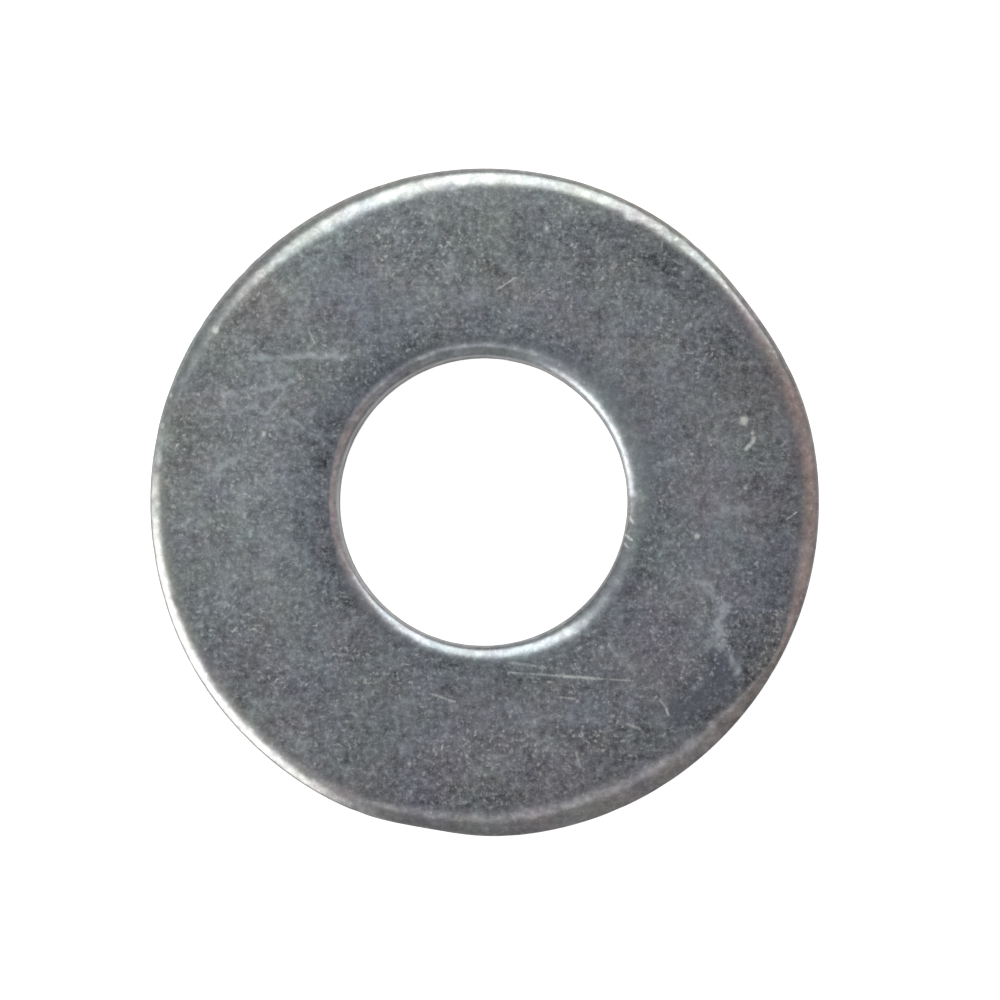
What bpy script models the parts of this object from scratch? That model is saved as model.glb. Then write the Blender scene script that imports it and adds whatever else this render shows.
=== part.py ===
"""A large-diameter flat washer for a 10 mm bolt: one ring stamped from steel strip, then zinc plated.

It lies flat on its bearing face, with the rolled edges of the stamping upwards. Metres, +Z up.
The origin is on the hole's axis, in the plane of the lower face.
"""

import math

import bpy

NAME = "flat_washer"

OUTER_RADIUS = 0.0120
HOLE_RADIUS = 0.00525
THICKNESS = 0.0020

# The die draws the upper face down at both cut edges. The drop is an ellipse's quarter: steep at
# the wall, and level where it meets the flat face.
OUTER_ROLL_WIDTH = 0.00080
OUTER_ROLL_DEPTH = 0.00046
HOLE_ROLL_WIDTH = 0.00057
HOLE_ROLL_DEPTH = 0.00035

# The upper part of the rim is sheared straight, and below it the metal breaks away at a slight
# taper. The hole is straight all the way down. Barrel tumbling rounds what is left of the burr.
SHEARED_LENGTH = 0.0006
RIM_BREAKOUT = 0.00008
BURR_RADIUS = 0.00012

RING_STEPS = 96
OUTER_ROLL_STEPS = 8
HOLE_ROLL_STEPS = 6
BURR_STEPS = 3

MERGE_DISTANCE = 1e-6
SHARP_ANGLE = math.radians(30)

ZINC_COLOUR = (0.47, 0.49, 0.51, 1.0)
ZINC_ROUGHNESS = 0.36


def clear_scene():
    for obj in list(bpy.data.objects):
        bpy.data.objects.remove(obj)


def new_collection(name):
    collection = bpy.data.collections.new(name)
    bpy.context.scene.collection.children.link(collection)
    return collection


def zinc_plate():
    material = bpy.data.materials.new("zinc_plate")
    material.use_nodes = True
    shader = material.node_tree.nodes["Principled BSDF"]
    shader.inputs["Base Color"].default_value = ZINC_COLOUR
    shader.inputs["Metallic"].default_value = 1.0
    shader.inputs["Roughness"].default_value = ZINC_ROUGHNESS
    return material


def arc(centre, radii, start, end, steps):
    """Points (r, z) on an ellipse about centre, from one angle in degrees to another, both ends in."""
    angles = [math.radians(start + (end - start) * step / steps) for step in range(steps + 1)]
    return [
        (centre[0] + radii[0] * math.cos(angle), centre[1] + radii[1] * math.sin(angle))
        for angle in angles
    ]


def cut_edge(top_radius, bottom_radius, side, roll_width, roll_depth, roll_steps):
    """The roll and the burr of one cut edge, both downwards. side is 1 at the rim, and -1 in the hole."""
    toward_metal = -side
    upright = 90 - side * 90
    roll_centre = (top_radius + toward_metal * roll_width, THICKNESS - roll_depth)
    roll = arc(roll_centre, (roll_width, roll_depth), 90, upright, roll_steps)
    burr_centre = (bottom_radius + toward_metal * BURR_RADIUS, BURR_RADIUS)
    burr = arc(burr_centre, (BURR_RADIUS, BURR_RADIUS), upright, upright - side * 90, BURR_STEPS)
    return roll, burr


def ring_profile():
    """The ring's section: down the outer wall, in along the lower face and up the wall of the hole."""
    rim_bottom = OUTER_RADIUS - RIM_BREAKOUT
    roll, burr = cut_edge(OUTER_RADIUS, rim_bottom, 1, OUTER_ROLL_WIDTH, OUTER_ROLL_DEPTH, OUTER_ROLL_STEPS)
    shear_end = (OUTER_RADIUS, THICKNESS - OUTER_ROLL_DEPTH - SHEARED_LENGTH)
    rim = roll + [shear_end] + burr
    roll, burr = cut_edge(HOLE_RADIUS, HOLE_RADIUS, -1, HOLE_ROLL_WIDTH, HOLE_ROLL_DEPTH, HOLE_ROLL_STEPS)
    hole = roll + burr
    return rim + hole[::-1]


def turned(name, profile, collection):
    """A closed section in the XZ plane, turned once about Z and shaded smooth."""
    section = bpy.data.meshes.new(f"{name}_section")
    edges = [(index, (index + 1) % len(profile)) for index in range(len(profile))]
    section.from_pydata([(r, 0.0, z) for r, z in profile], edges, [])

    guide = bpy.data.objects.new(f"{name}_guide", section)
    collection.objects.link(guide)
    screw = guide.modifiers.new("turn", "SCREW")
    screw.axis = "Z"
    screw.angle = math.tau
    screw.steps = RING_STEPS
    screw.render_steps = RING_STEPS
    screw.use_merge_vertices = True
    screw.merge_threshold = MERGE_DISTANCE

    graph = bpy.context.evaluated_depsgraph_get()
    mesh = bpy.data.meshes.new_from_object(guide.evaluated_get(graph))
    mesh.name = name
    mesh.shade_smooth()
    mesh.set_sharp_from_angle(angle=SHARP_ANGLE)
    bpy.data.objects.remove(guide)
    bpy.data.meshes.remove(section)

    obj = bpy.data.objects.new(name, mesh)
    collection.objects.link(obj)
    return obj


def main():
    clear_scene()
    collection = new_collection(NAME)
    washer = turned("washer", ring_profile(), collection)
    washer.data.materials.append(zinc_plate())


main()
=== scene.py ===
"""The looks of a zinc-plated flat washer: a fine mesh in place of the CAD ring, in a pale studio.

The frame is the CAD model's: metres, +Z up, origin on the hole's axis in the plane of the lower
face. The ring's own sizes and the places of its marks are in millimetres, and MM turns them into
metres. Compass angles are degrees, counter-clockwise from +X seen from above.
"""

import math
from types import SimpleNamespace

import bpy
import numpy as np
from mathutils import Matrix, Quaternion, Vector, noise


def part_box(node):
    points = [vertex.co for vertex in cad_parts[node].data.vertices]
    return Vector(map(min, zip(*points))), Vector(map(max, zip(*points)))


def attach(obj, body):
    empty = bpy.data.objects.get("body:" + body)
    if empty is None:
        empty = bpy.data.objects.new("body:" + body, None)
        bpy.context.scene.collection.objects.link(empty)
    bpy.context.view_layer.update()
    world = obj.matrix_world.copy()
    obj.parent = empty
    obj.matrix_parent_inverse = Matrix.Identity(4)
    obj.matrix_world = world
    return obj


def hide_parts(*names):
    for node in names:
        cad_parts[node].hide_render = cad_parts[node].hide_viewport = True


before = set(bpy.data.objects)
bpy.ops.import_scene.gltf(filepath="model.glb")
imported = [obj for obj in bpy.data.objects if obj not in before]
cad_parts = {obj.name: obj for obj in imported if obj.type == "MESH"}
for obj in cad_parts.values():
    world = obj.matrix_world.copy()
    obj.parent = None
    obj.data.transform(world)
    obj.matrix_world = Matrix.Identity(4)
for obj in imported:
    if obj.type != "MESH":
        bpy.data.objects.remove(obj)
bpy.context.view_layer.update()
MM = 0.001
RANDOM_SEED = 1812

# ---- the ring's size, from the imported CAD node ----
RING_LOW, RING_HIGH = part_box("washer")
OUTER_RADIUS = RING_HIGH.x / MM
THICKNESS = (RING_HIGH.z - RING_LOW.z) / MM
HOLE_RADIUS = min(math.hypot(v.co.x, v.co.y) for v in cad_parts["washer"].data.vertices) / MM

# ---- the stamping. A roll is (width, depth). ----
OUTER_ROLL_MM = (0.70, 0.48)
HOLE_ROLL_MM = (0.62, 0.35)
SHEARED_MM = 0.60
BREAKOUT_MM = 0.08
BURR_MM = 0.12
PLATING_MM = 0.03
HOLE_OFFSET_MM = (-0.038, 0.031)

# ---- mesh density ----
AROUND = 768
STATIONS = {
    "top": 46,
    "outer_roll": 16,
    "outer_wall": 16,
    "outer_burr": 5,
    "bottom": 20,
    "hole_burr": 4,
    "hole_wall": 11,
    "hole_roll": 9,
}
ZONE_BLUR_PASSES = 3

# Changes round the ring, as (compass, half-width in degrees, size in mm): where the strip's edge or
# a knock left the rim short of round, and where the die drew the face down over a wider or narrower
# band, or deeper.
RIM_FLATS = [(36, 13, 0.13), (260, 9, 0.14)]
ROLL_CHANGES = [
    (23, 34, 0.21),
    (40, 10, -0.27),
    (117, 22, 0.35),
    (166, 10, -0.22),
    (291, 29, 0.48),
    (332, 11, -0.48),
]
ROLL_DEPTH_CHANGES = [(51, 20, 0.16), (131, 22, 0.20), (286, 16, 0.18)]
HOLE_ROLL_CHANGES = [(16, 27, 0.46), (44, 21, 0.42), (178, 28, -0.27), (305, 23, 0.28)]
HOLE_DEPTH_CHANGES = [(308, 19, 0.14), (211, 13, -0.06)]

# Random ripples round the ring, as (size, waves). A size is in mm for the two radii, and a share of
# the width, depth or length for the rest. A ripple's place in the list picks its random numbers.
RIPPLES = {
    "rim": (0.008, 9),
    "roll_width": (0.025, 14),
    "roll_depth": (0.03, 8),
    "hole": (0.004, 7),
    "hole_width": (0.03, 10),
    "hole_depth": (0.05, 6),
    "shear": (0.18, 24),
}

# Knocks from barrel tumbling, most of them on the rolled edges, as
# (zone, count, range of radius, range of depth), in mm.
KNOCKS = [
    ("outer_roll", 90, (0.10, 0.26), (0.004, 0.018)),
    ("outer_wall", 60, (0.12, 0.30), (0.004, 0.016)),
    ("hole_roll", 34, (0.08, 0.20), (0.003, 0.012)),
    ("top", 70, (0.20, 0.50), (0.0008, 0.003)),
    ("bottom", 50, (0.25, 0.60), (0.001, 0.004)),
]
KNOCK_SEED = RANDOM_SEED + 20

# Torn metal: its height in mm in each zone, the share of the thickness below which it begins, the
# share over which it grows, and its lumps as (strength, features a mm across, features a mm up).
TORN_MM = {"outer_wall": 0.012, "hole_wall": 0.010, "outer_burr": 0.008, "hole_burr": 0.006}
TORN_BELOW = 0.55
TORN_GROWTH = 0.25
TORN_LUMPS = [(1.0, 3.1, 4.0), (0.5, 7.3, 8.0)]

# Slow waves in both faces, as (height in mm, features a mm, shift of the noise).
FACE_WAVES = [(0.004, 0.23, 7), (0.0012, 0.8, 3)]


# ---- the washer's mesh ----


def bell(angles, centre, half_width):
    """1 at the compass angle centre, falling smoothly to 0. Angles are in degrees."""
    away = (angles - centre + 180) % 360 - 180
    return np.exp(-((away / half_width) ** 2))


def changed(angles, changes):
    """The sum, in mm, of changes given as (compass, half-width in degrees, size in mm)."""
    return sum(size * bell(angles, centre, half_width) for centre, half_width, size in changes)


def ripple(angles, name):
    """One of RIPPLES: a smooth random curve round the ring that closes on itself."""
    size, waves = RIPPLES[name]
    source = np.random.default_rng(RANDOM_SEED + list(RIPPLES).index(name))
    turns = np.radians(angles)
    total = np.zeros_like(turns)
    for wave in range(2, waves + 2):
        total += source.normal() * np.cos(wave * turns + source.uniform(0, math.tau))
    return size * (total / math.sqrt(waves))


def step_ends(count, end=1.0):
    """The ends of count equal steps from 0 to end."""
    return np.linspace(0, end, count + 1)[1:]


def quarter(count):
    """The ends of count equal steps from 0 to 90 degrees, in radians."""
    return step_ends(count, math.pi / 2)


def section_stations():
    """The angles, the r and z in mm of each station at each angle, and each station's zone."""
    angles = np.arange(AROUND) * 360 / AROUND
    outer = OUTER_RADIUS + ripple(angles, "rim") - changed(angles, RIM_FLATS)
    roll_width = OUTER_ROLL_MM[0] * (1 + ripple(angles, "roll_width"))
    roll_width = roll_width + changed(angles, ROLL_CHANGES)
    roll_depth = OUTER_ROLL_MM[1] * (1 + ripple(angles, "roll_depth"))
    roll_depth = roll_depth + changed(angles, ROLL_DEPTH_CHANGES)
    hole = HOLE_RADIUS - PLATING_MM + ripple(angles, "hole")
    hole_width = HOLE_ROLL_MM[0] * (1 + ripple(angles, "hole_width"))
    hole_width = hole_width + changed(angles, HOLE_ROLL_CHANGES)
    hole_depth = HOLE_ROLL_MM[1] * (1 + ripple(angles, "hole_depth"))
    hole_depth = hole_depth + changed(angles, HOLE_DEPTH_CHANGES)
    shear_end = SHEARED_MM * (1 + ripple(angles, "shear"))

    column = np.ones(AROUND)
    radii, heights, zones = [], [], []

    def add(zone, r, z):
        radii.append(r * column)
        heights.append(z * column)
        zones.append(zone)

    face_inside = hole + hole_width
    face_outside = outer - roll_width
    for share in np.linspace(0, 1, STATIONS["top"] + 1):
        add("top", face_inside + share * (face_outside - face_inside), THICKNESS)
    for turn in quarter(STATIONS["outer_roll"]):
        add(
            "outer_roll",
            outer - roll_width * (1 - math.sin(turn)),
            THICKNESS - roll_depth * (1 - math.cos(turn)),
        )
    wall_top = THICKNESS - roll_depth
    tear_top = wall_top - shear_end
    for share in step_ends(STATIONS["outer_wall"]):
        height = wall_top + share * (BURR_MM - wall_top)
        below = np.clip((tear_top - height) / (tear_top - BURR_MM), 0, 1)
        add("outer_wall", outer - BREAKOUT_MM * below, height)
    for turn in quarter(STATIONS["outer_burr"]):
        add(
            "outer_burr",
            outer - BREAKOUT_MM - BURR_MM * (1 - math.cos(turn)),
            BURR_MM * (1 - math.sin(turn)),
        )
    bottom_outside = outer - BREAKOUT_MM - BURR_MM
    bottom_inside = hole + BURR_MM
    for share in step_ends(STATIONS["bottom"]):
        add("bottom", bottom_outside + share * (bottom_inside - bottom_outside), 0)
    for turn in quarter(STATIONS["hole_burr"]):
        add(
            "hole_burr",
            hole + BURR_MM * (1 - math.sin(turn)),
            BURR_MM * (1 - math.cos(turn)),
        )
    hole_top = THICKNESS - hole_depth
    for share in step_ends(STATIONS["hole_wall"]):
        add("hole_wall", hole, BURR_MM + share * (hole_top - BURR_MM))
    for turn in quarter(STATIONS["hole_roll"])[:-1]:
        add(
            "hole_roll",
            hole + hole_width * (1 - math.cos(turn)),
            THICKNESS - hole_depth * (1 - math.sin(turn)),
        )
    return angles, np.stack(radii, 1), np.stack(heights, 1), zones


def ring_points():
    """The undented ring as an array (around, station, xyz) in mm, with the zone of each station."""
    angles, radii, heights, zones = section_stations()
    turns = np.radians(angles)[:, None]
    points = np.stack([radii * np.cos(turns), radii * np.sin(turns), heights], -1)
    toward_hole = np.clip((OUTER_RADIUS - radii) / (OUTER_RADIUS - HOLE_RADIUS), 0, 1)
    points[..., 0] += HOLE_OFFSET_MM[0] * toward_hole
    points[..., 1] += HOLE_OFFSET_MM[1] * toward_hole
    return points, zones


def outward(points):
    """Unit normals of the grid of points, out of the metal."""
    along = np.roll(points, -1, 0) - np.roll(points, 1, 0)
    across = np.roll(points, -1, 1) - np.roll(points, 1, 1)
    normals = np.cross(along, across)
    normals /= np.linalg.norm(normals, axis=-1, keepdims=True)
    mid_face = STATIONS["top"] // 2
    return -normals if normals[0, mid_face, 2] < 0 else normals


def tumbling_dents(points, zones):
    """Depth in mm of the small knocks that barrel tumbling leaves."""
    source = np.random.default_rng(KNOCK_SEED)
    depth = np.zeros(points.shape[:2])
    for zone, count, radius_range, depth_range in KNOCKS:
        stations = [index for index, name in enumerate(zones) if name == zone]
        for _ in range(count):
            centre = points[source.integers(AROUND), source.choice(stations)]
            radius = source.uniform(*radius_range)
            near = ((points - centre) ** 2).sum(-1)
            depth += source.uniform(*depth_range) * np.exp(-near / radius**2)
    return depth


def torn_height(x, y, z, zone):
    """Height in mm of the torn metal at one point of a cut edge."""
    share = np.clip((THICKNESS * TORN_BELOW - z) / (THICKNESS * TORN_GROWTH), 0, 1)
    lumps = sum(
        strength * noise.noise(Vector((x * across, y * across, z * up)))
        for strength, across, up in TORN_LUMPS
    )
    return TORN_MM[zone] * share * lumps


def roughcast(points, zones):
    """Height in mm of the torn metal below the shear band, and of the slow waves in both faces."""
    height = np.zeros(points.shape[:2])
    for station, zone in enumerate(zones):
        for row in range(AROUND):
            x, y, z = points[row, station]
            if zone in TORN_MM:
                height[row, station] = torn_height(x, y, z, zone)
            else:
                for size, scale, shift in FACE_WAVES:
                    wave = noise.noise(Vector((x * scale, y * scale, z + shift)))
                    height[row, station] += size * wave
    return height


def zone_weights(zones, words):
    """1 at each station whose zone's name holds one of the words, and 0 at the others."""
    return np.array([1.0 if any(word in zone for word in words) else 0.0 for zone in zones])


def washer_piece():
    """The visible washer: the section carried round the hole, with dents, waves and torn edges."""
    points, zones = ring_points()
    relief = roughcast(points, zones) - tumbling_dents(points, zones)
    points = points + outward(points) * relief[..., None]
    points[..., 2] = np.clip(points[..., 2], 0.0, THICKNESS)

    stations = len(zones)
    mesh = bpy.data.meshes.new("washer_plated")
    row = np.arange(AROUND)[:, None] * stations
    next_row = np.roll(np.arange(AROUND), -1)[:, None] * stations
    column = np.arange(stations)[None, :]
    next_column = np.roll(np.arange(stations), -1)[None, :]
    corners = [row + column, row + next_column, next_row + next_column, next_row + column]
    quads = np.stack(corners, -1).reshape(-1, 4)
    mesh.from_pydata((points * MM).reshape(-1, 3).tolist(), [], quads.tolist())
    mesh.shade_smooth()

    is_wall = zone_weights(zones, ("wall", "burr"))
    is_rolled = zone_weights(zones, ("roll", "wall"))
    for _ in range(ZONE_BLUR_PASSES):
        is_rolled = (np.roll(is_rolled, 1) + is_rolled + np.roll(is_rolled, -1)) / 3
    for name, values in (("wall", is_wall), ("rolled", is_rolled)):
        attribute = mesh.attributes.new(name, "FLOAT", "POINT")
        attribute.data.foreach_set("value", np.tile(values, AROUND).astype(np.float32))

    obj = bpy.data.objects.new("washer_plated", mesh)
    bpy.context.scene.collection.objects.link(obj)
    return obj


# ---- directions ----


def toward(compass, from_zenith):
    """The unit vector at a compass angle, tipped from straight up by from_zenith degrees."""
    turn, tip = math.radians(compass), math.radians(from_zenith)
    return Vector((math.sin(tip) * math.cos(turn), math.sin(tip) * math.sin(turn), math.cos(tip)))


def cosine(degrees):
    return math.cos(math.radians(degrees))


# ---- node helpers ----


def plug(tree, target, socket, value):
    """Gives one input, by name or index, a value or a link."""
    into = target.inputs[socket]
    if isinstance(value, bpy.types.NodeSocket):
        tree.links.new(value, into)
    else:
        into.default_value = value


def add_node(tree, kind, settings=None, **inputs):
    """A new node with its settings, and its sockets given a value or linked to another's output."""
    made = tree.nodes.new(kind)
    for name, value in (settings or {}).items():
        setattr(made, name, value)
    for name, value in inputs.items():
        plug(tree, made, name.replace("_", " "), value)
    return made


def calc(tree, operation, first, second=0.0, third=0.0, clamp=False):
    """The output of a Math node."""
    made = tree.nodes.new("ShaderNodeMath")
    made.operation = operation
    made.use_clamp = clamp
    for index, value in enumerate((first, second, third)):
        plug(tree, made, index, value)
    return made.outputs[0]


def product(tree, first, *others):
    for other in others:
        first = calc(tree, "MULTIPLY", first, other)
    return first


def total(tree, first, *others):
    for other in others:
        first = calc(tree, "ADD", first, other)
    return first


def strongest(tree, first, *others):
    for other in others:
        first = calc(tree, "MAXIMUM", first, other)
    return first


def add_times(tree, base, value, amount):
    """base + value * amount."""
    return calc(tree, "MULTIPLY_ADD", value, amount, base)


def vector_calc(tree, operation, first, second=(0, 0, 0)):
    """The output of a Vector Math node: its value for a dot product or a length, or its vector."""
    made = tree.nodes.new("ShaderNodeVectorMath")
    made.operation = operation
    plug(tree, made, 0, first)
    if operation == "SCALE":
        plug(tree, made, "Scale", second)
    elif operation != "LENGTH":
        plug(tree, made, 1, second)
    return made.outputs["Value" if operation in ("DOT_PRODUCT", "LENGTH") else "Vector"]


def height_of(tree, vector):
    return add_node(tree, "ShaderNodeSeparateXYZ", Vector=vector).outputs["Z"]


def reach(tree, vector, compass, unit=1.0):
    """How far a vector reaches to a compass angle, in units of unit."""
    return vector_calc(tree, "DOT_PRODUCT", vector, tuple(toward(compass, 90) / unit))


def ramp(tree, value, low, high, to_low=0.0, to_high=1.0):
    """value between low and high, as a smooth step from to_low to to_high."""
    made = add_node(tree, "ShaderNodeMapRange", {"interpolation_type": "SMOOTHSTEP"})
    for name, number in (
        ("Value", value),
        ("From Min", low),
        ("From Max", high),
        ("To Min", to_low),
        ("To Max", to_high),
    ):
        plug(tree, made, name, number)
    return made.outputs["Result"]


def blend_colour(tree, share, first, second):
    made = add_node(tree, "ShaderNodeMix", {"data_type": "RGBA", "blend_type": "MIX"})
    for index, value in ((0, share), (6, first), (7, second)):
        plug(tree, made, index, value)
    return made.outputs[2]


def cloud(tree, where, scale, detail=2.0, roughness=0.5, shift=(0, 0)):
    """Noise from 0 to 1 with scale features a mm, read at a shift in mm from where."""
    if shift != (0, 0):
        where = vector_calc(tree, "ADD", where, (*shift, 0))
    made = add_node(
        tree,
        "ShaderNodeTexNoise",
        Vector=where,
        Scale=scale,
        Detail=detail,
        Roughness=roughness,
    )
    return made.outputs["Fac"]


def centred(tree, noise_value, amount):
    """Noise from 0 to 1 as a change about 0, amount wide."""
    return add_times(tree, -0.5 * amount, noise_value, amount)


def skewed(tree, value, amount):
    """value with its high side stretched and its low side pressed, level at 0."""
    grown = calc(tree, "EXPONENT", calc(tree, "MULTIPLY", value, amount))
    return add_times(tree, -1 / amount, grown, 1 / amount)


def wandering(tree, where, flat, scale, size):
    """The place flat, pushed about in plan by up to half of size, in mm."""
    push = add_node(tree, "ShaderNodeTexNoise", Vector=where, Scale=scale, Detail=2.0)
    push = vector_calc(tree, "SUBTRACT", push.outputs["Color"], (0.5, 0.5, 0.5))
    return vector_calc(tree, "ADD", flat, vector_calc(tree, "MULTIPLY", push, (size, size, 0)))


# ---- the plating ----

ZINC = (0.484, 0.510, 0.541)
# The near-white of scuffs and marks, and of the flecks that are partly painted glints.
SCUFF_AND_GLINT = (0.94, 0.96, 0.92, 1)
CLOUDED = (0.71, 0.78, 0.84, 1)
STAINED = (0.27, 0.28, 0.35, 1)

# How light the plating is, as shares of ZINC: its level, how far its three textures reach about
# it, and how much darker it is by the hole, by the rim and on torn metal. The darkening by the rim
# is painted shade. The rolled edges are burnished, so they keep only a part of the texture.
LEVEL = 0.950
MOTTLE_REACH, MOTTLE_SKEW = 1.8, 1.4
GRAIN_REACH, GRAIN_SKEW = 1.80, 2.1
PATCH_REACH = 0.34
BURNISHED_TEXTURE = 0.5
HOLE_SHADE = (0.13, 0.30)
RIM_SHADE = 0.18
TORN_SHADE = 0.16

# How far red rises and blue falls together, and how far green changes, as shares of ZINC.
WARM_REACH = 0.19
RIM_WARMTH = 0.045
HOLE_WARMTH = -0.025
GRAIN_WARMTH = 0.02
GREEN_REACH = 0.30
GREEN_SLOPE = 0.022
MOTTLE_GREEN = 0.04

# Compass angles of the slow changes round the ring: where the face by the hole is darkest, where
# the rim's painted shade is darkest, where its roll is least worn, and where the face is greenest.
HOLE_DARK_SIDE = 160
DARK_RIM_SIDE = 330
FRESH_SIDE = 149
GREEN_SIDE = 115

# Bands that a change fades over. Across the face they are in mm, outwards from the hole's edge or
# inwards from the rim's.
HOLE_TINT_BAND = (0.3, 2.2)
HOLE_ROLL_BAND = (0.0, 0.7)
RIM_SHADE_BAND = (3.6, 1.2)
RIM_WEAR_BAND = (1.0, 0.5)

# Up the ring they are shares of its thickness: where the upper face's marks fade in, and where torn
# metal gives way to the burnished band above it.
UPPER_BAND = (0.4, 0.7)
TEAR_BAND = (0.38, 0.56)

# Roughness on dull and on bright mottle, what the zones and the haze add to it, and the relief.
DULL_ROUGHNESS, BRIGHT_ROUGHNESS = 0.32, 0.285
WALL_ROUGHNESS, TORN_ROUGHNESS = 0.04, 0.10
ROLLED_ROUGHNESS, HAZE_ROUGHNESS = -0.005, 0.10
BUMP_MM = 0.005

# Broad areas of the upper face that are lighter, darker, browner or bluer, as
# (start, end, half-width, strength), in mm.
PALE_AREAS = [
    ((-8.2, -3.0), (-8.2, 3.2), 3.0, 0.10),
    ((8.4, 1.0), (8.4, -3.6), 2.4, 0.08),
]
DULL_AREAS = [
    ((4.0, -7.8), (-4.2, -7.0), 3.2, 0.08),
    ((9.2, -5.2), (7.4, -7.6), 2.2, 0.09),
    ((6.6, 8.9), (-5.0, 9.3), 1.9, 0.13),
    ((-6.2, 3.2), (-3.8, 6.4), 3.0, 0.05),
]
BROWN_AREAS = [
    ((-9.0, 6.2), (-7.8, 7.4), 1.9, 0.045),
    ((-10.6, 2.6), (-10.4, 1.8), 1.5, 0.050),
    ((9.7, 4.6), (10.0, 1.6), 1.8, 0.035),
    ((-1.0, -9.8), (4.0, -9.6), 2.0, 0.020),
    ((0.3, 8.1), (0.9, 8.1), 1.1, 0.030),
]
BLUE_AREAS = [
    ((-5.2, 8.2), (-3.2, 5.9), 1.9, 0.035),
    ((-6.7, 1.0), (-6.5, -1.2), 1.3, 0.030),
    ((10.2, -1.6), (8.8, -5.8), 1.6, 0.022),
]

# Handling marks on the upper face, in the same form. A bare spot is (centre, radius, strength).
CLOUDY_STREAKS = [
    ((-8.3, 5.15), (-4.9, 5.20), 0.19, 0.55),
    ((-9.3, 3.78), (-6.8, 4.25), 0.18, 0.50),
    ((-8.3, 3.50), (-7.8, 3.13), 0.16, 0.45),
    ((-7.8, 3.13), (-7.2, 3.84), 0.16, 0.50),
    ((-10.2, 0.55), (-8.8, 1.63), 0.20, 0.42),
    ((-6.9, 3.00), (-5.7, 2.05), 0.12, 0.40),
    ((8.60, -0.35), (9.30, -0.25), 0.26, 0.45),
    ((4.50, -5.20), (5.40, -6.05), 0.26, 0.34),
    ((6.95, -2.75), (7.90, -2.95), 0.24, 0.42),
    ((7.90, -2.95), (8.50, -3.80), 0.28, 0.62),
    ((8.50, -3.80), (8.45, -5.00), 0.42, 0.68),
    ((8.15, -4.85), (7.95, -5.20), 0.24, 0.50),
    ((8.55, -5.10), (9.05, -6.10), 0.26, 0.66),
]
SCRATCHES = [
    ((0.9, -6.10), (5.3, -6.40), 0.060, 0.36),
    ((2.6, -6.21), (4.1, -6.32), 0.095, 0.55),
    ((0.9, -5.74), (2.2, -5.92), 0.085, 0.36),
    ((3.30, -8.95), (3.45, -9.45), 0.085, 0.36),
    ((5.15, -7.95), (5.55, -8.10), 0.090, 0.36),
    ((5.22, -0.55), (5.34, -0.78), 0.080, 0.70),
    ((5.10, -1.22), (5.30, -1.38), 0.080, 0.75),
    ((5.05, -1.52), (5.14, -1.64), 0.080, 0.60),
    ((9.60, 2.42), (9.64, 2.17), 0.120, 0.66),
    ((9.64, 2.17), (9.38, 1.87), 0.130, 0.66),
    ((0.45, 7.55), (1.15, 8.00), 0.060, 0.50),
    ((6.28, -7.08), (6.50, -7.36), 0.055, 0.42),
    ((6.50, -7.36), (6.58, -7.62), 0.075, 0.62),
    ((-1.9, -6.85), (-1.0, -7.15), 0.065, 0.45),
    ((2.65, -6.97), (3.25, -7.03), 0.065, 0.36),
    ((-6.27, 6.18), (-6.03, 5.64), 0.055, 0.45),
    ((10.8, -0.65), (11.15, -0.40), 0.060, 0.55),
]
BARE_SPOTS = [
    ((9.30, 2.84), 0.27, 0.66),
    ((7.62, -1.25), 0.17, 0.65),
    ((9.34, 0.49), 0.13, 0.50),
    ((-9.60, 6.12), 0.20, 0.85),
    ((-7.85, 2.40), 0.15, 0.60),
    ((-6.15, 2.83), 0.11, 0.50),
    ((-11.2, 3.79), 0.12, 0.60),
    ((-10.2, 3.80), 0.11, 0.50),
    ((-11.5, 2.70), 0.13, 0.65),
    ((2.28, 9.77), 0.15, 0.60),
    ((-0.60, -9.10), 0.12, 0.50),
    ((-4.20, -6.40), 0.12, 0.45),
]
STAINS = [
    ((8.5, -5.9), (8.4, -6.8), 0.85, 0.58),
    ((8.4, -6.8), (6.8, -7.5), 0.80, 0.60),
    ((-5.9, 2.6), (-3.6, 5.3), 0.80, 0.26),
]

# Random handling marks, as (cell, length, half-width, share of cells with a mark, seed), in mm.
TINY_MARKS = (0.17, 0.32, 0.105, 0.95, 3)
SHORT_MARKS = (0.60, 0.42, 0.110, 0.55, 1)
LONG_MARKS = (2.6, 1.8, 0.070, 0.35, 5)

MARK_BOW = 0.2

# Random bright flecks, partly nicks and partly painted glints, as (cell, radius, share of cells
# with a fleck), in mm.
NICK_GLINTS = (0.30, 0.055, 0.22)

# How strongly the random marks show, and how far each kind of mark scatters light.
TINY_STRENGTH, LONG_STRENGTH = 0.75, 0.3
MARK_STRENGTH, NICK_GLINT_STRENGTH = 0.9, 0.45
PLACED_SCATTER, HAZE_SCATTER, RANDOM_SCATTER = 0.75, 0.12, 0.24


def new_group(name, vectors, numbers=()):
    """A node group with vector and number inputs and one output, Mark, and its input sockets."""
    group = bpy.data.node_groups.new(name, "ShaderNodeTree")
    for socket in vectors:
        group.interface.new_socket(socket, in_out="INPUT", socket_type="NodeSocketVector")
    for socket in numbers:
        group.interface.new_socket(socket, in_out="INPUT", socket_type="NodeSocketFloat")
    group.interface.new_socket("Mark", in_out="OUTPUT", socket_type="NodeSocketFloat")
    return group, group.nodes.new("NodeGroupInput").outputs


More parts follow.
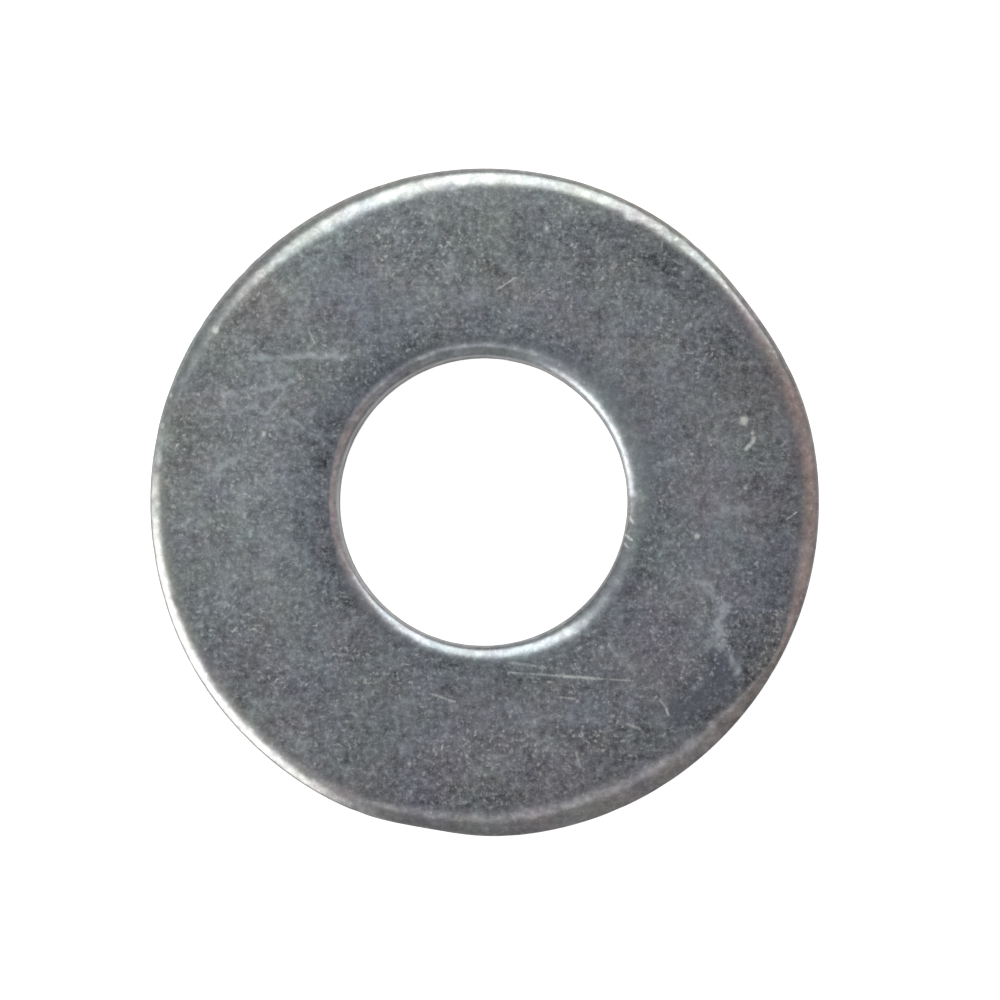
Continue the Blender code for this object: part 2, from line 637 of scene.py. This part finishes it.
def marks_group(name, cell, length, width, share, seed):
    """A group whose output is 1 on short marks, at most one in a cell, in random directions."""
    group, given = new_group(name, ["Vector"])

    # The seed moves the cells, so that each group has marks of its own.
    shifted = vector_calc(group, "ADD", given["Vector"], (seed * 3.7, seed * 1.3, 0))
    cells = add_node(
        group, "ShaderNodeTexVoronoi", {"voronoi_dimensions": "2D"}, Vector=shifted, Scale=1 / cell
    )
    dice = add_node(group, "ShaderNodeSeparateColor", Color=cells.outputs["Color"]).outputs

    # Each mark lies along its own X, slightly bowed, about the middle of its cell.
    local = vector_calc(group, "SUBTRACT", shifted, cells.outputs["Position"])
    turned = add_node(group, "ShaderNodeVectorRotate", {"rotation_type": "Z_AXIS"}, Vector=local)
    plug(group, turned, "Angle", product(group, dice["Red"], math.tau))
    axes = add_node(group, "ShaderNodeSeparateXYZ", Vector=turned.outputs["Vector"]).outputs
    bowed = add_times(group, axes["Y"], product(group, axes["X"], axes["X"]), MARK_BOW / length)
    half_length = add_times(group, length * 0.15, dice["Blue"], length * 0.35)
    beyond = calc(group, "DIVIDE", calc(group, "ABSOLUTE", axes["X"]), half_length)
    along = ramp(group, beyond, 0.4, 1.0, 1.0, 0.0)
    across = ramp(group, calc(group, "ABSOLUTE", bowed), width * 0.15, width * 0.6, 1.0, 0.0)

    present = calc(group, "LESS_THAN", dice["Green"], share)
    strength = calc(group, "POWER", calc(group, "DIVIDE", dice["Green"], share), 2.0)
    out = group.nodes.new("NodeGroupOutput")
    plug(group, out, "Mark", product(group, along, across, present, strength))
    return group


def stroke_group():
    """A group whose output is 1 on the line from Start over Span, fading to 0 at Width from it."""
    group, given = new_group("stroke", ["Vector", "Start", "Span"], ["Width"])
    local = vector_calc(group, "SUBTRACT", given["Vector"], given["Start"])
    length_squared = vector_calc(group, "DOT_PRODUCT", given["Span"], given["Span"])
    covered = vector_calc(group, "DOT_PRODUCT", local, given["Span"])
    along = calc(group, "DIVIDE", covered, length_squared, clamp=True)
    nearest = vector_calc(group, "SCALE", given["Span"], along)
    away = vector_calc(group, "LENGTH", vector_calc(group, "SUBTRACT", local, nearest))
    share = calc(group, "DIVIDE", away, given["Width"])
    out = group.nodes.new("NodeGroupOutput")
    plug(group, out, "Mark", ramp(group, share, 0.1, 1.0, 1.0, 0.0))
    return group


def use_group(tree, group, where, **inputs):
    made = tree.nodes.new("ShaderNodeGroup")
    made.node_tree = group
    plug(tree, made, "Vector", where)
    for name, value in inputs.items():
        plug(tree, made, name, value)
    return made.outputs["Mark"]


def strokes(tree, brush, where, marks):
    """The strongest of the marks at each point. A mark is (start, end, half-width, strength)."""
    strength_here = 0.0
    for (start_x, start_y), (end_x, end_y), width, strength in marks:
        mark = use_group(
            tree,
            brush,
            where,
            Start=(start_x, start_y, 0),
            Span=(end_x - start_x, end_y - start_y, 0),
            Width=width,
        )
        strength_here = strongest(tree, product(tree, mark, strength), strength_here)
    return strength_here


def spots(tree, brush, where, marks):
    """The strongest of the spots at each point. A spot is (centre, radius, strength)."""
    short_lines = [
        ((x, y), (x, y + radius * 0.3), radius, strength) for (x, y), radius, strength in marks
    ]
    return strokes(tree, brush, where, short_lines)


def flecks(tree, where, cell, radius, share):
    """1 on small round spots, one in each cell that has one."""
    cells = add_node(tree, "ShaderNodeTexVoronoi", Vector=where, Scale=1 / cell)
    dice = add_node(tree, "ShaderNodeSeparateColor", Color=cells.outputs["Color"]).outputs
    size = add_times(tree, radius * 0.4, dice["Red"], radius * 0.6)
    distance = product(tree, cells.outputs["Distance"], cell)
    spot = ramp(tree, calc(tree, "DIVIDE", distance, size), 0.4, 1.0, 1.0, 0.0)
    return product(tree, spot, calc(tree, "LESS_THAN", dice["Green"], share))


def beyond_hole(band):
    return [HOLE_RADIUS + distance for distance in band]


def inside_rim(band):
    return [OUTER_RADIUS - distance for distance in band]


def up_ring(band):
    return [THICKNESS * share for share in band]


def painted(tree, name):
    """The value that washer_piece gives each point of the mesh under a name."""
    return add_node(tree, "ShaderNodeAttribute", {"attribute_name": name}).outputs["Fac"]


def surface_signals(tree):
    """What the plating's parts share: the place in mm, the zone, and the two fine textures."""
    here = add_node(tree, "ShaderNodeTexCoord").outputs["Object"]
    where = vector_calc(tree, "SCALE", here, 1 / MM)
    flat = vector_calc(tree, "MULTIPLY", where, (1, 1, 0))
    above = height_of(tree, where)
    from_axis = vector_calc(tree, "LENGTH", flat)
    mottle = cloud(tree, where, scale=1.0, roughness=1.0)
    grain = cloud(tree, where, scale=5.0, roughness=0.9, shift=(11, 5))

    # The tint by the hole is strongest where its roll ends.
    near_hole = ramp(tree, from_axis, *beyond_hole(HOLE_TINT_BAND), 1.0, 0.0)
    beyond_roll = ramp(tree, from_axis, *beyond_hole(HOLE_ROLL_BAND), 0.15, 1.0)

    # Below the shear band the wall is torn metal, duller than the burnished band above it.
    wall = painted(tree, "wall")
    tear_line = total(tree, above, centred(tree, mottle, 1.2))
    torn = ramp(tree, tear_line, *up_ring(TEAR_BAND), 1.0, 0.0)

    return SimpleNamespace(
        where=where,
        flat=flat,
        from_axis=from_axis,
        upper=ramp(tree, above, *up_ring(UPPER_BAND)),
        near_hole=product(tree, near_hole, beyond_roll),
        wall=wall,
        torn=product(tree, wall, torn),
        rolled=painted(tree, "rolled"),
        mottle=mottle,
        grain=grain,
        clumps=skewed(tree, centred(tree, mottle, MOTTLE_REACH), MOTTLE_SKEW),
        speckle=skewed(tree, centred(tree, grain, GRAIN_REACH), GRAIN_SKEW),
        brush=stroke_group(),
    )


def lightness(tree, at, burnish):
    """How light the plating is, as a share of ZINC, with painted shade by the rim."""
    texture = product(tree, total(tree, at.clumps, at.speckle), burnish)
    patches = cloud(tree, at.where, scale=0.16, roughness=0.6, shift=(40, 3))
    light = total(tree, texture, LEVEL, centred(tree, patches, PATCH_REACH))

    # The face is darker in a band by the hole, most on one side.
    darker_hole_side = reach(tree, at.flat, HOLE_DARK_SIDE, HOLE_RADIUS)
    hole_shade = product(tree, at.near_hole, ramp(tree, darker_hole_side, -0.3, 1.0, *HOLE_SHADE))
    light = add_times(tree, light, hole_shade, -1.0)

    # Painted shade: the face is darkened near the rim, most on the side toward DARK_RIM_SIDE.
    near_rim = ramp(tree, at.from_axis, *inside_rim(RIM_SHADE_BAND))
    dark_side = reach(tree, at.flat, DARK_RIM_SIDE, OUTER_RADIUS)
    rim_shade = product(tree, near_rim, ramp(tree, dark_side, -0.6, 0.6, 0.0, RIM_SHADE))
    light = add_times(tree, light, rim_shade, -1.0)

    light = add_times(tree, light, at.torn, -TORN_SHADE)
    light = total(tree, light, strokes(tree, at.brush, at.flat, PALE_AREAS))
    return calc(tree, "SUBTRACT", light, strokes(tree, at.brush, at.flat, DULL_AREAS))


def tinted(tree, at, light):
    """ZINC times light, made warmer, bluer or greener by a few per cent from place to place."""
    # The rim's roll is worn warmer but for one fresh side, and the face is bluer near the hole.
    rim_wear = ramp(tree, at.from_axis, *inside_rim(RIM_WEAR_BAND), 0.0, RIM_WARMTH)
    fresh_side = reach(tree, at.flat, FRESH_SIDE, OUTER_RADIUS)
    rim_wear = product(tree, rim_wear, ramp(tree, fresh_side, 0.84, 0.97, 1.0, -0.1))
    warmth = add_times(tree, rim_wear, at.near_hole, HOLE_WARMTH)
    warm = cloud(tree, at.where, scale=0.5, detail=3.0, roughness=0.62, shift=(31, 7))
    warmth = total(tree, warmth, centred(tree, warm, WARM_REACH))
    warmth = add_times(tree, warmth, at.speckle, GRAIN_WARMTH)
    warmth = total(tree, warmth, strokes(tree, at.brush, at.flat, BROWN_AREAS))
    warmth = calc(tree, "SUBTRACT", warmth, strokes(tree, at.brush, at.flat, BLUE_AREAS))

    green = cloud(tree, at.where, scale=0.4, detail=3.0, roughness=0.68, shift=(3, 57))
    greenness = total(tree, 1.0, centred(tree, green, GREEN_REACH))
    green_side = reach(tree, at.flat, GREEN_SIDE, OUTER_RADIUS)
    greenness = add_times(tree, greenness, green_side, GREEN_SLOPE)
    greenness = add_times(tree, greenness, at.clumps, MOTTLE_GREEN)

    shares = {
        "Red": total(tree, 1.0, warmth),
        "Green": greenness,
        "Blue": calc(tree, "SUBTRACT", 1.0, warmth),
    }
    tint = add_node(tree, "ShaderNodeCombineColor")
    for (channel, share), zinc in zip(shares.items(), ZINC):
        plug(tree, tint, channel, product(tree, share, zinc, light))
    return tint.outputs["Color"]


def hazed(tree, at):
    """How far the upper face is stained, and how far it is clouded by rubbing."""
    smeared = wandering(tree, at.where, at.flat, scale=2.2, size=0.5)
    broken = ramp(tree, at.mottle, 0.40, 0.56, 0.35, 1.0)
    haze = strokes(tree, at.brush, smeared, CLOUDY_STREAKS)
    stain = strokes(tree, at.brush, smeared, STAINS)
    return product(tree, stain, at.upper), product(tree, haze, broken, at.upper)


def scattered_marks(tree, at):
    """Random handling marks, denser in some areas and fewer on the rolled edges."""
    crowded = cloud(tree, at.where, scale=0.35, detail=1.0, shift=(70, 20))
    crowded = ramp(tree, crowded, 0.38, 0.62, 0.45, 1.0)
    uneven = wandering(tree, at.where, at.flat, scale=4.0, size=0.22)
    tiny = use_group(tree, marks_group("tiny_marks", *TINY_MARKS), uneven)
    short = use_group(tree, marks_group("short_marks", *SHORT_MARKS), uneven)
    long = use_group(tree, marks_group("long_marks", *LONG_MARKS), uneven)
    marks = strongest(tree, product(tree, tiny, TINY_STRENGTH), short)
    marks = product(tree, marks, crowded)
    marks = strongest(tree, marks, product(tree, long, LONG_STRENGTH))
    broken = ramp(tree, at.grain, 0.40, 0.56, 0.35, 1.0)
    return product(tree, marks, broken, ramp(tree, at.rolled, 0.1, 0.8, 1.0, 0.15))


def placed_marks(tree, at):
    """The scratches and bare spots that are named above, on the upper face."""
    scratches = strokes(tree, at.brush, at.flat, SCRATCHES)
    marks = strongest(tree, scratches, spots(tree, at.brush, at.flat, BARE_SPOTS))
    return product(tree, marks, ramp(tree, at.grain, 0.40, 0.52, 0.6, 1.0), at.upper)


def zinc_plate():
    """Bright zinc over stamped steel: mottled grain, faint tints, stains, streaks and scratches."""
    material = bpy.data.materials.new("zinc_plate")
    material.use_nodes = True
    tree = material.node_tree
    shader = tree.nodes["Principled BSDF"]
    at = surface_signals(tree)
    burnish = ramp(tree, at.rolled, 0.0, 1.0, 1.0, BURNISHED_TEXTURE)

    colour = tinted(tree, at, lightness(tree, at, burnish))
    stain, haze = hazed(tree, at)
    colour = blend_colour(tree, stain, colour, STAINED)
    colour = blend_colour(tree, haze, colour, CLOUDED)
    scattered = scattered_marks(tree, at)
    placed = placed_marks(tree, at)
    marks = product(tree, strongest(tree, scattered, placed), MARK_STRENGTH)
    # The flecks are partly nicks and partly painted glints, blended toward near-white with the
    # marks.
    nick_glints = product(tree, flecks(tree, at.where, *NICK_GLINTS), NICK_GLINT_STRENGTH)
    colour = blend_colour(tree, strongest(tree, marks, nick_glints), colour, SCUFF_AND_GLINT)
    plug(tree, shader, "Base Color", colour)

    # Marks scatter light, as torn or clouded zinc does, so the metal is less of a mirror there.
    scatter = strongest(
        tree,
        product(tree, placed, PLACED_SCATTER),
        product(tree, haze, HAZE_SCATTER),
        product(tree, scattered, RANDOM_SCATTER),
    )
    plug(tree, shader, "Metallic", calc(tree, "SUBTRACT", 1.0, scatter))

    roughness = ramp(tree, at.mottle, 0.40, 0.60, DULL_ROUGHNESS, BRIGHT_ROUGHNESS)
    for share, amount in (
        (at.wall, WALL_ROUGHNESS),
        (at.torn, TORN_ROUGHNESS),
        (at.rolled, ROLLED_ROUGHNESS),
        (haze, HAZE_ROUGHNESS),
    ):
        roughness = add_times(tree, roughness, share, amount)
    plug(tree, shader, "Roughness", roughness)

    height = add_times(tree, at.grain, at.mottle, 0.6)
    height = product(tree, add_times(tree, height, scattered, -0.4), burnish)
    bump = add_node(tree, "ShaderNodeBump", Height=height, Strength=1.0, Distance=BUMP_MM * MM)
    plug(tree, shader, "Normal", bump.outputs["Normal"])
    return material


# ---- the studio: what the metal mirrors, as linear colours ----

ROOM_DARK = (0.184, 0.186, 0.205, 1)
ROOM_LIGHT = (0.344, 0.357, 0.345, 1)
CEILING_STRIP = (1.04, 1.01, 1.02, 1)
NEAR_WALL = (0.381, 0.373, 0.364, 1)
WARM_WALL = (0.600, 0.474, 0.434, 1)
LIT_FLOOR = (0.624, 0.600, 0.574, 1)
LOW_CARD = (2.72, 2.67, 2.57, 1)
SOFTBOX_COLOUR = (0.985, 1.0, 0.975)

# Where they stand, as a compass angle or as (compass, degrees from the zenith).
LIGHTER_SIDE = 168
STRIP_SIDE = 287
NEAR_WALL_AT = (303, 74)
WARM_WALL_AT = (359, 61)
LIT_FLOOR_SIDE = 110
LOW_CARD_SIDE = 209


def glow(tree, direction, centre, inner, outer):
    """1 within inner degrees of centre, falling to 0 at outer degrees from it."""
    across = vector_calc(tree, "DOT_PRODUCT", direction, tuple(toward(*centre)))
    return ramp(tree, across, cosine(outer), cosine(inner))


def ceiling_strip(tree, direction):
    """1 on an arc 15 to 38 degrees from the zenith, on the side that the camera leans to."""
    above = height_of(tree, direction)
    inside = ramp(tree, above, cosine(38), cosine(33))
    outside = ramp(tree, above, cosine(20), cosine(15), 1.0, 0.0)
    side = ramp(tree, reach(tree, direction, STRIP_SIDE), 0.12, 0.55)
    return product(tree, inside, outside, side)


def low_card(tree, direction):
    """1 on an upright card beyond the rim at the lower left, which reaches down past the floor."""
    level = vector_calc(tree, "NORMALIZE", vector_calc(tree, "MULTIPLY", direction, (1, 1, 0)))
    across = ramp(tree, reach(tree, level, LOW_CARD_SIDE), cosine(38), cosine(19))
    above = height_of(tree, direction)
    below_top = ramp(tree, above, cosine(67), cosine(33), 1.0, 0.0)
    above_foot = ramp(tree, above, cosine(125), cosine(100))
    return product(tree, across, below_top, above_foot)


def lit_floor(tree, direction):
    """1 below the horizon, and less on the side that the camera leans to."""
    below = ramp(tree, height_of(tree, direction), -0.30, 0.05, 1.0, 0.0)
    lit_side = reach(tree, direction, LIT_FLOOR_SIDE)
    return product(tree, below, ramp(tree, lit_side, -0.8, 0.2, 0.3, 1.0))


def studio_surroundings():
    """A grey room, lighter to one side, with a warm wall, a ceiling strip and a bright low card."""
    world = bpy.data.worlds.new("studio")
    bpy.context.scene.world = world
    world.use_nodes = True
    tree = world.node_tree
    direction = add_node(tree, "ShaderNodeTexCoord").outputs["Generated"]

    lighter_side = ramp(tree, reach(tree, direction, LIGHTER_SIDE), -0.06, 0.30)
    colour = blend_colour(tree, lighter_side, ROOM_DARK, ROOM_LIGHT)
    for share, added in (
        (ceiling_strip(tree, direction), CEILING_STRIP),
        (glow(tree, direction, NEAR_WALL_AT, 5, 50), NEAR_WALL),
        (glow(tree, direction, WARM_WALL_AT, 10, 48), WARM_WALL),
        (lit_floor(tree, direction), LIT_FLOOR),
        (low_card(tree, direction), LOW_CARD),
    ):
        colour = blend_colour(tree, share, colour, added)
    plug(tree, tree.nodes["Background"], "Color", colour)


def softbox(name, compass, from_zenith, distance, turned, size, brightness):
    """An area light facing the washer, turned in its plane. Its brightness is a radiance."""
    light = bpy.data.lights.new(name, "AREA")
    light.shape = "RECTANGLE"
    light.size, light.size_y = size
    light.energy = brightness * math.pi * size[0] * size[1]
    light.color = SOFTBOX_COLOUR
    obj = bpy.data.objects.new(name, light)
    back = toward(compass, from_zenith)
    obj.location = back * distance
    facing = back.to_track_quat("Z", "Y") @ Quaternion((0, 0, 1), math.radians(turned))
    obj.rotation_euler = facing.to_euler()
    bpy.context.scene.collection.objects.link(obj)


def pale_floor():
    """A white cove: a flat floor that curves up into a wall all round. It isn't seen mirrored."""
    flat_radius, bend_radius, wall_top = 0.55, 0.25, 0.9
    bend_steps, turns = 12, 96
    profile = [(flat_radius, 0.0)]
    for step in range(1, bend_steps + 1):
        turn = math.radians(90 * step / bend_steps)
        r = flat_radius + bend_radius * math.sin(turn)
        profile.append((r, bend_radius * (1 - math.cos(turn))))
    profile.append((flat_radius + bend_radius, wall_top))
    vertices = [
        (r * math.cos(math.tau * k / turns), r * math.sin(math.tau * k / turns), z)
        for r, z in profile
        for k in range(turns)
    ]
    faces = [tuple(range(turns))]
    for ring in range(len(profile) - 1):
        for k in range(turns):
            a, b = ring * turns + k, ring * turns + (k + 1) % turns
            faces.append((a, a + turns, b + turns, b))
    mesh = bpy.data.meshes.new("floor")
    mesh.from_pydata(vertices, [], faces)
    mesh.shade_smooth()
    floor = bpy.data.objects.new("floor", mesh)
    bpy.context.scene.collection.objects.link(floor)
    floor.visible_glossy = False
    floor.visible_diffuse = False
    floor.visible_shadow = False

    material = bpy.data.materials.new("floor")
    material.use_nodes = True
    shader = material.node_tree.nodes["Principled BSDF"]
    shader.inputs["Base Color"].default_value = (0.8, 0.8, 0.8, 1)
    shader.inputs["Roughness"].default_value = 1.0
    shader.inputs["Specular IOR Level"].default_value = 0.0
    shader.inputs["Emission Color"].default_value = (1, 1, 1, 1)
    shader.inputs["Emission Strength"].default_value = 0.80
    mesh.materials.append(material)


def studio_camera():
    """A lens close above, leaning a little over the rim, with +Y up in the picture."""
    lean, lean_compass = 2.0, -57.0
    distance = 99.72 * MM
    aim = Vector((0.581, 0.062, 1.4)) * MM
    back = toward(lean_compass, lean)
    right = Vector((0, 1, 0)).cross(back).normalized()
    up = back.cross(right)
    data = bpy.data.cameras.new("camera")
    data.lens = 100
    data.sensor_width = 36
    data.clip_start = 0.01
    data.clip_end = 5
    camera = bpy.data.objects.new("camera", data)
    pose = Matrix((right, up, back)).transposed().to_4x4()
    pose.translation = aim + back * distance
    camera.matrix_world = pose
    bpy.context.scene.collection.objects.link(camera)
    bpy.context.scene.camera = camera


def main():
    washer = washer_piece()
    washer.data.materials.append(zinc_plate())
    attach(washer, "root")
    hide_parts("washer")

    studio_surroundings()
    softbox(
        "overhead_softbox",
        compass=76.5,
        from_zenith=54.5,
        distance=0.25,
        turned=34.5,
        size=(0.47, 0.189),
        brightness=1.92,
    )
    pale_floor()
    studio_camera()
    bpy.context.scene.view_settings.view_transform = "Standard"


main()
